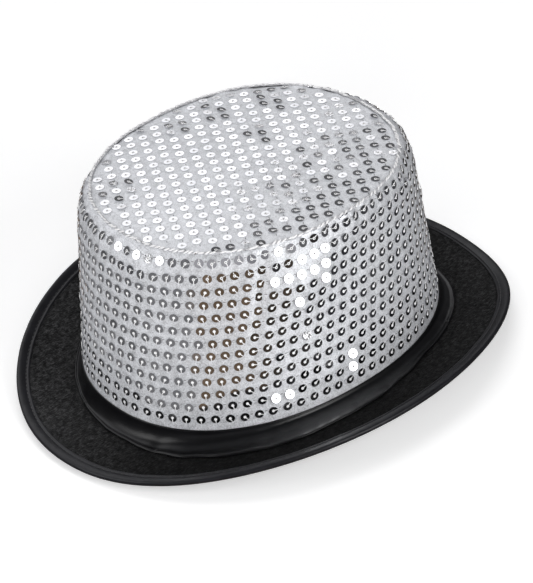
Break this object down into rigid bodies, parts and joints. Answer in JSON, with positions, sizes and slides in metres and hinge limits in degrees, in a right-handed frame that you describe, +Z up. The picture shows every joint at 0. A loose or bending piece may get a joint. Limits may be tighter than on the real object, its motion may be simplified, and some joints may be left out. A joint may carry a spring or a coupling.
{
  "type": "new year party hat",
  "caption": "Low top hat for a party: crown of silver sequin cloth, black satin hat band, black felt brim curled up at the sides and bound in satin.",
  "frame": {"origin": "on the surface the hat rests on, under the middle of the hat", "axes": "+Z up; -Y is the wearer's front, so Y is the hat's longest way; X runs across the hat, from curled side to curled side"},
  "size_m": [0.25, 0.292, 0.1216],
  "materials": {
    "felt": "brushed polyester felt",
    "buckram": "open stiffened weave",
    "reed": "flat extruded plastic",
    "black_satin": "satin bias tape",
    "black_thread": "twisted sewing thread",
    "silver_cloth": "satiny silver-white knit",
    "white_thread": "twisted sewing thread",
    "sequin": "flat mirror-silver film",
    "black_ribbon": "black satin ribbon",
    "sweatband_ribbon": "ribbed polyester ribbon"
  },
  "bodies": {
    "root": {"brim_under_felt": "felt", "brim_stiffener": "buckram", "brim_upper_felt": "felt", "brim_edge_reed": "reed", "brim_binding": "black_satin", "brim_binding_thread": "black_thread", "crown_side_felt": "felt", "crown_tip_felt": "felt", "side_sequin_cloth": "silver_cloth", "tip_sequin_cloth": "silver_cloth", "tip_seam_thread": "white_thread", "side_back_seam_thread": "white_thread", "side_sequins": "sequin", "tip_sequins": "sequin", "head_seam_thread": "black_thread", "hat_band": "black_ribbon", "hat_band_lap": "black_ribbon", "hat_band_tacks": "black_thread", "sweatband": "sweatband_ribbon", "sweatband_thread": "black_thread"}
  },
  "joints": []
}
